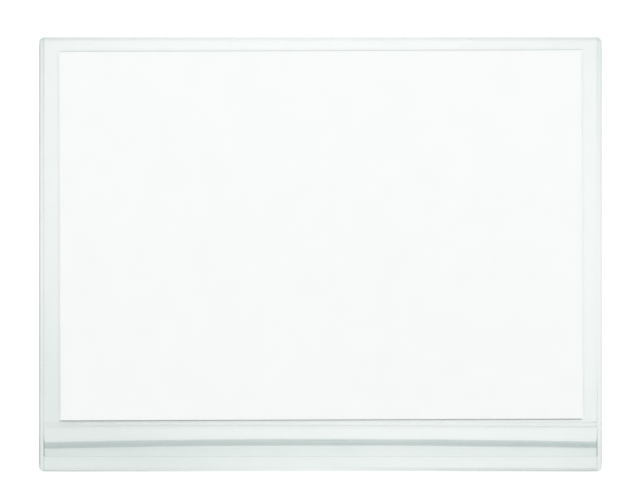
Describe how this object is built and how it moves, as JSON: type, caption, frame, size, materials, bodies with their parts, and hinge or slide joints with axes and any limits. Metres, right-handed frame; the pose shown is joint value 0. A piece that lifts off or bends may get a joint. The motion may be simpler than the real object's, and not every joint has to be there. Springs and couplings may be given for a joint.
{
  "type": "self-adhesive display pocket",
  "caption": "Flat clear film pocket for a landscape A4 sheet, with ribbed weld seams, a press-lock flap along the lower edge and adhesive strips with release liners on the back.",
  "frame": {"origin": "centre of the pocket's outline, on the plane that the back of the release liners rests on", "axes": "+X to the right along the long side, +Y up the face, +Z out of the face"},
  "size_m": [0.32, 0.247, 0.0021],
  "materials": {
    "back_film": "glossy clear film",
    "window_film": "glossy clear film",
    "sill_film": "glossy clear film",
    "flap_film": "glossy clear film",
    "seam": "ribbed weld in clear film",
    "lock_profile": "extruded translucent profile",
    "sheet_paper": "matte white paper",
    "adhesive": "clear adhesive",
    "liner_paper": "waxed paper"
  },
  "bodies": {
    "pocket": {"back_film": "back_film", "window_film": "window_film", "window_left_margin": "window_film", "window_right_margin": "window_film", "window_top_margin": "window_film", "left_seam": "seam", "right_seam": "seam", "top_seam": "seam", "bottom_seam": "seam", "sill_film": "sill_film", "groove_profile": "lock_profile", "flap_weld": "seam", "flap_weld_left_end": "seam", "flap_weld_right_end": "seam", "upper_adhesive": "adhesive", "lower_adhesive": "adhesive"},
    "sheet": {"insert_sheet": "sheet_paper"},
    "flap": {"closure_flap": "flap_film", "flap_left_end": "flap_film", "flap_right_end": "flap_film", "rib_profile": "lock_profile"},
    "upper_liner": {"upper_liner": "liner_paper"},
    "lower_liner": {"lower_liner": "liner_paper"}
  },
  "joints": [
    {"name": "sheet_slide", "type": "slide", "parent": "pocket", "child": "sheet", "axis": [0, -1, 0], "range_m": [0, 0.24]},
    {"name": "closure_hinge", "type": "hinge", "parent": "pocket", "child": "flap", "pos_m": [0, -0.0985, 0.0019], "axis": [-1, 0, 0], "range_deg": [0, 120]},
    {"name": "upper_liner_peel", "type": "slide", "parent": "pocket", "child": "upper_liner", "axis": [1, 0, 0], "range_m": [0, 0.3]},
    {"name": "lower_liner_peel", "type": "slide", "parent": "pocket", "child": "lower_liner", "axis": [1, 0, 0], "range_m": [0, 0.3]}
  ],
  "couplings": [
    {"joint": "closure_hinge", "follows": "sheet_slide", "rad_per_m": 8.72}
  ]
}
